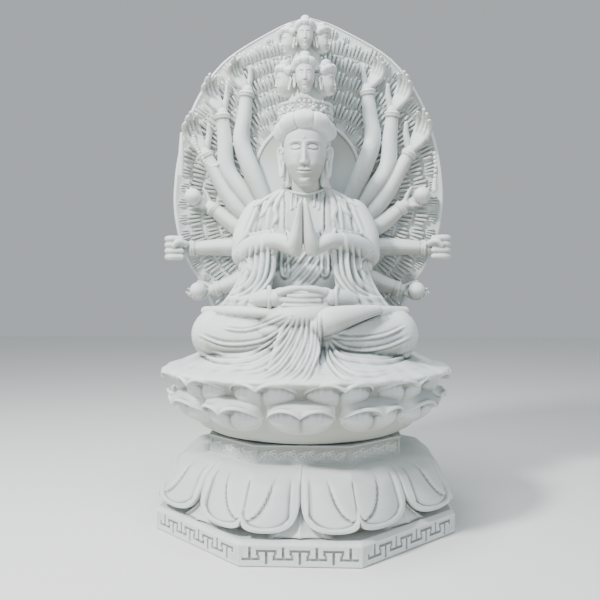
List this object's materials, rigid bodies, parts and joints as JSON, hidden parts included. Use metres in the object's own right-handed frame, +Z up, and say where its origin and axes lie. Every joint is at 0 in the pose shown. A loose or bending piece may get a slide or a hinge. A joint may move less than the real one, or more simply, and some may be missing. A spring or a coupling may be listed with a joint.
{
  "type": "guanyin statue",
  "caption": "Seated thousand-armed, many-headed Guanyin carved in pale stone, on a double lotus seat and an eight-sided petal pedestal, before a pointed aureole.",
  "frame": {"origin": "middle of the pedestal's underside", "axes": "+Z up, the figure faces -Y, +X to the viewer's right"},
  "size_m": [1.4176, 1.3936, 2.5396],
  "materials": {
    "stone_pedestal": "satin",
    "stone_figure": "satin",
    "stone_aureole": "satin"
  },
  "bodies": {
    "root": {"pedestal": "stone_pedestal", "seated_figure": "stone_figure", "aureole": "stone_aureole"}
  },
  "joints": []
}
